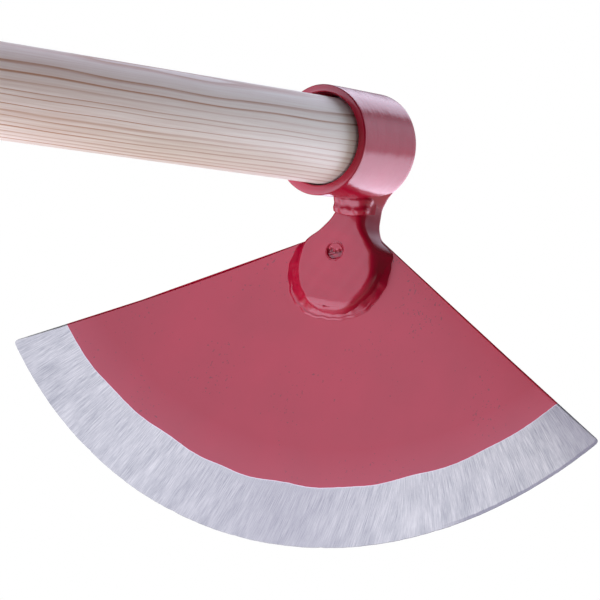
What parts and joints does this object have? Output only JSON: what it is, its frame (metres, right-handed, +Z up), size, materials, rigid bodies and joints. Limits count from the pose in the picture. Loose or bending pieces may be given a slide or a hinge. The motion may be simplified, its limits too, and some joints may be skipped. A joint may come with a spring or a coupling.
{
  "type": "half-moon eye hoe",
  "caption": "Draw hoe with a dished half-moon sector blade, forged neck and oval pad, welded eye ring and a round wooden handle.",
  "frame": {"origin": "middle of the bounding box's base, under the handle's axis; the lowest point is the blade's cutting edge", "axes": "+X along the handle towards the head, +Z up from the cutting edge to the handle, +Y to the left when looking along +X"},
  "size_m": [1.2, 0.3026, 0.1883],
  "materials": {
    "satin_enamel": "satin red enamel with bare ground band",
    "gloss_enamel": "thick glossy red enamel",
    "bare_handle": "sanded, unvarnished",
    "wedge_wood": "sawn"
  },
  "bodies": {
    "root": {"blade": "satin_enamel", "neck_forging": "gloss_enamel", "eye_ring": "gloss_enamel", "eye_weld": "gloss_enamel", "pad_weld": "gloss_enamel", "pad_rivet": "gloss_enamel", "handle": "bare_handle", "handle_wedge": "wedge_wood"}
  },
  "joints": []
}
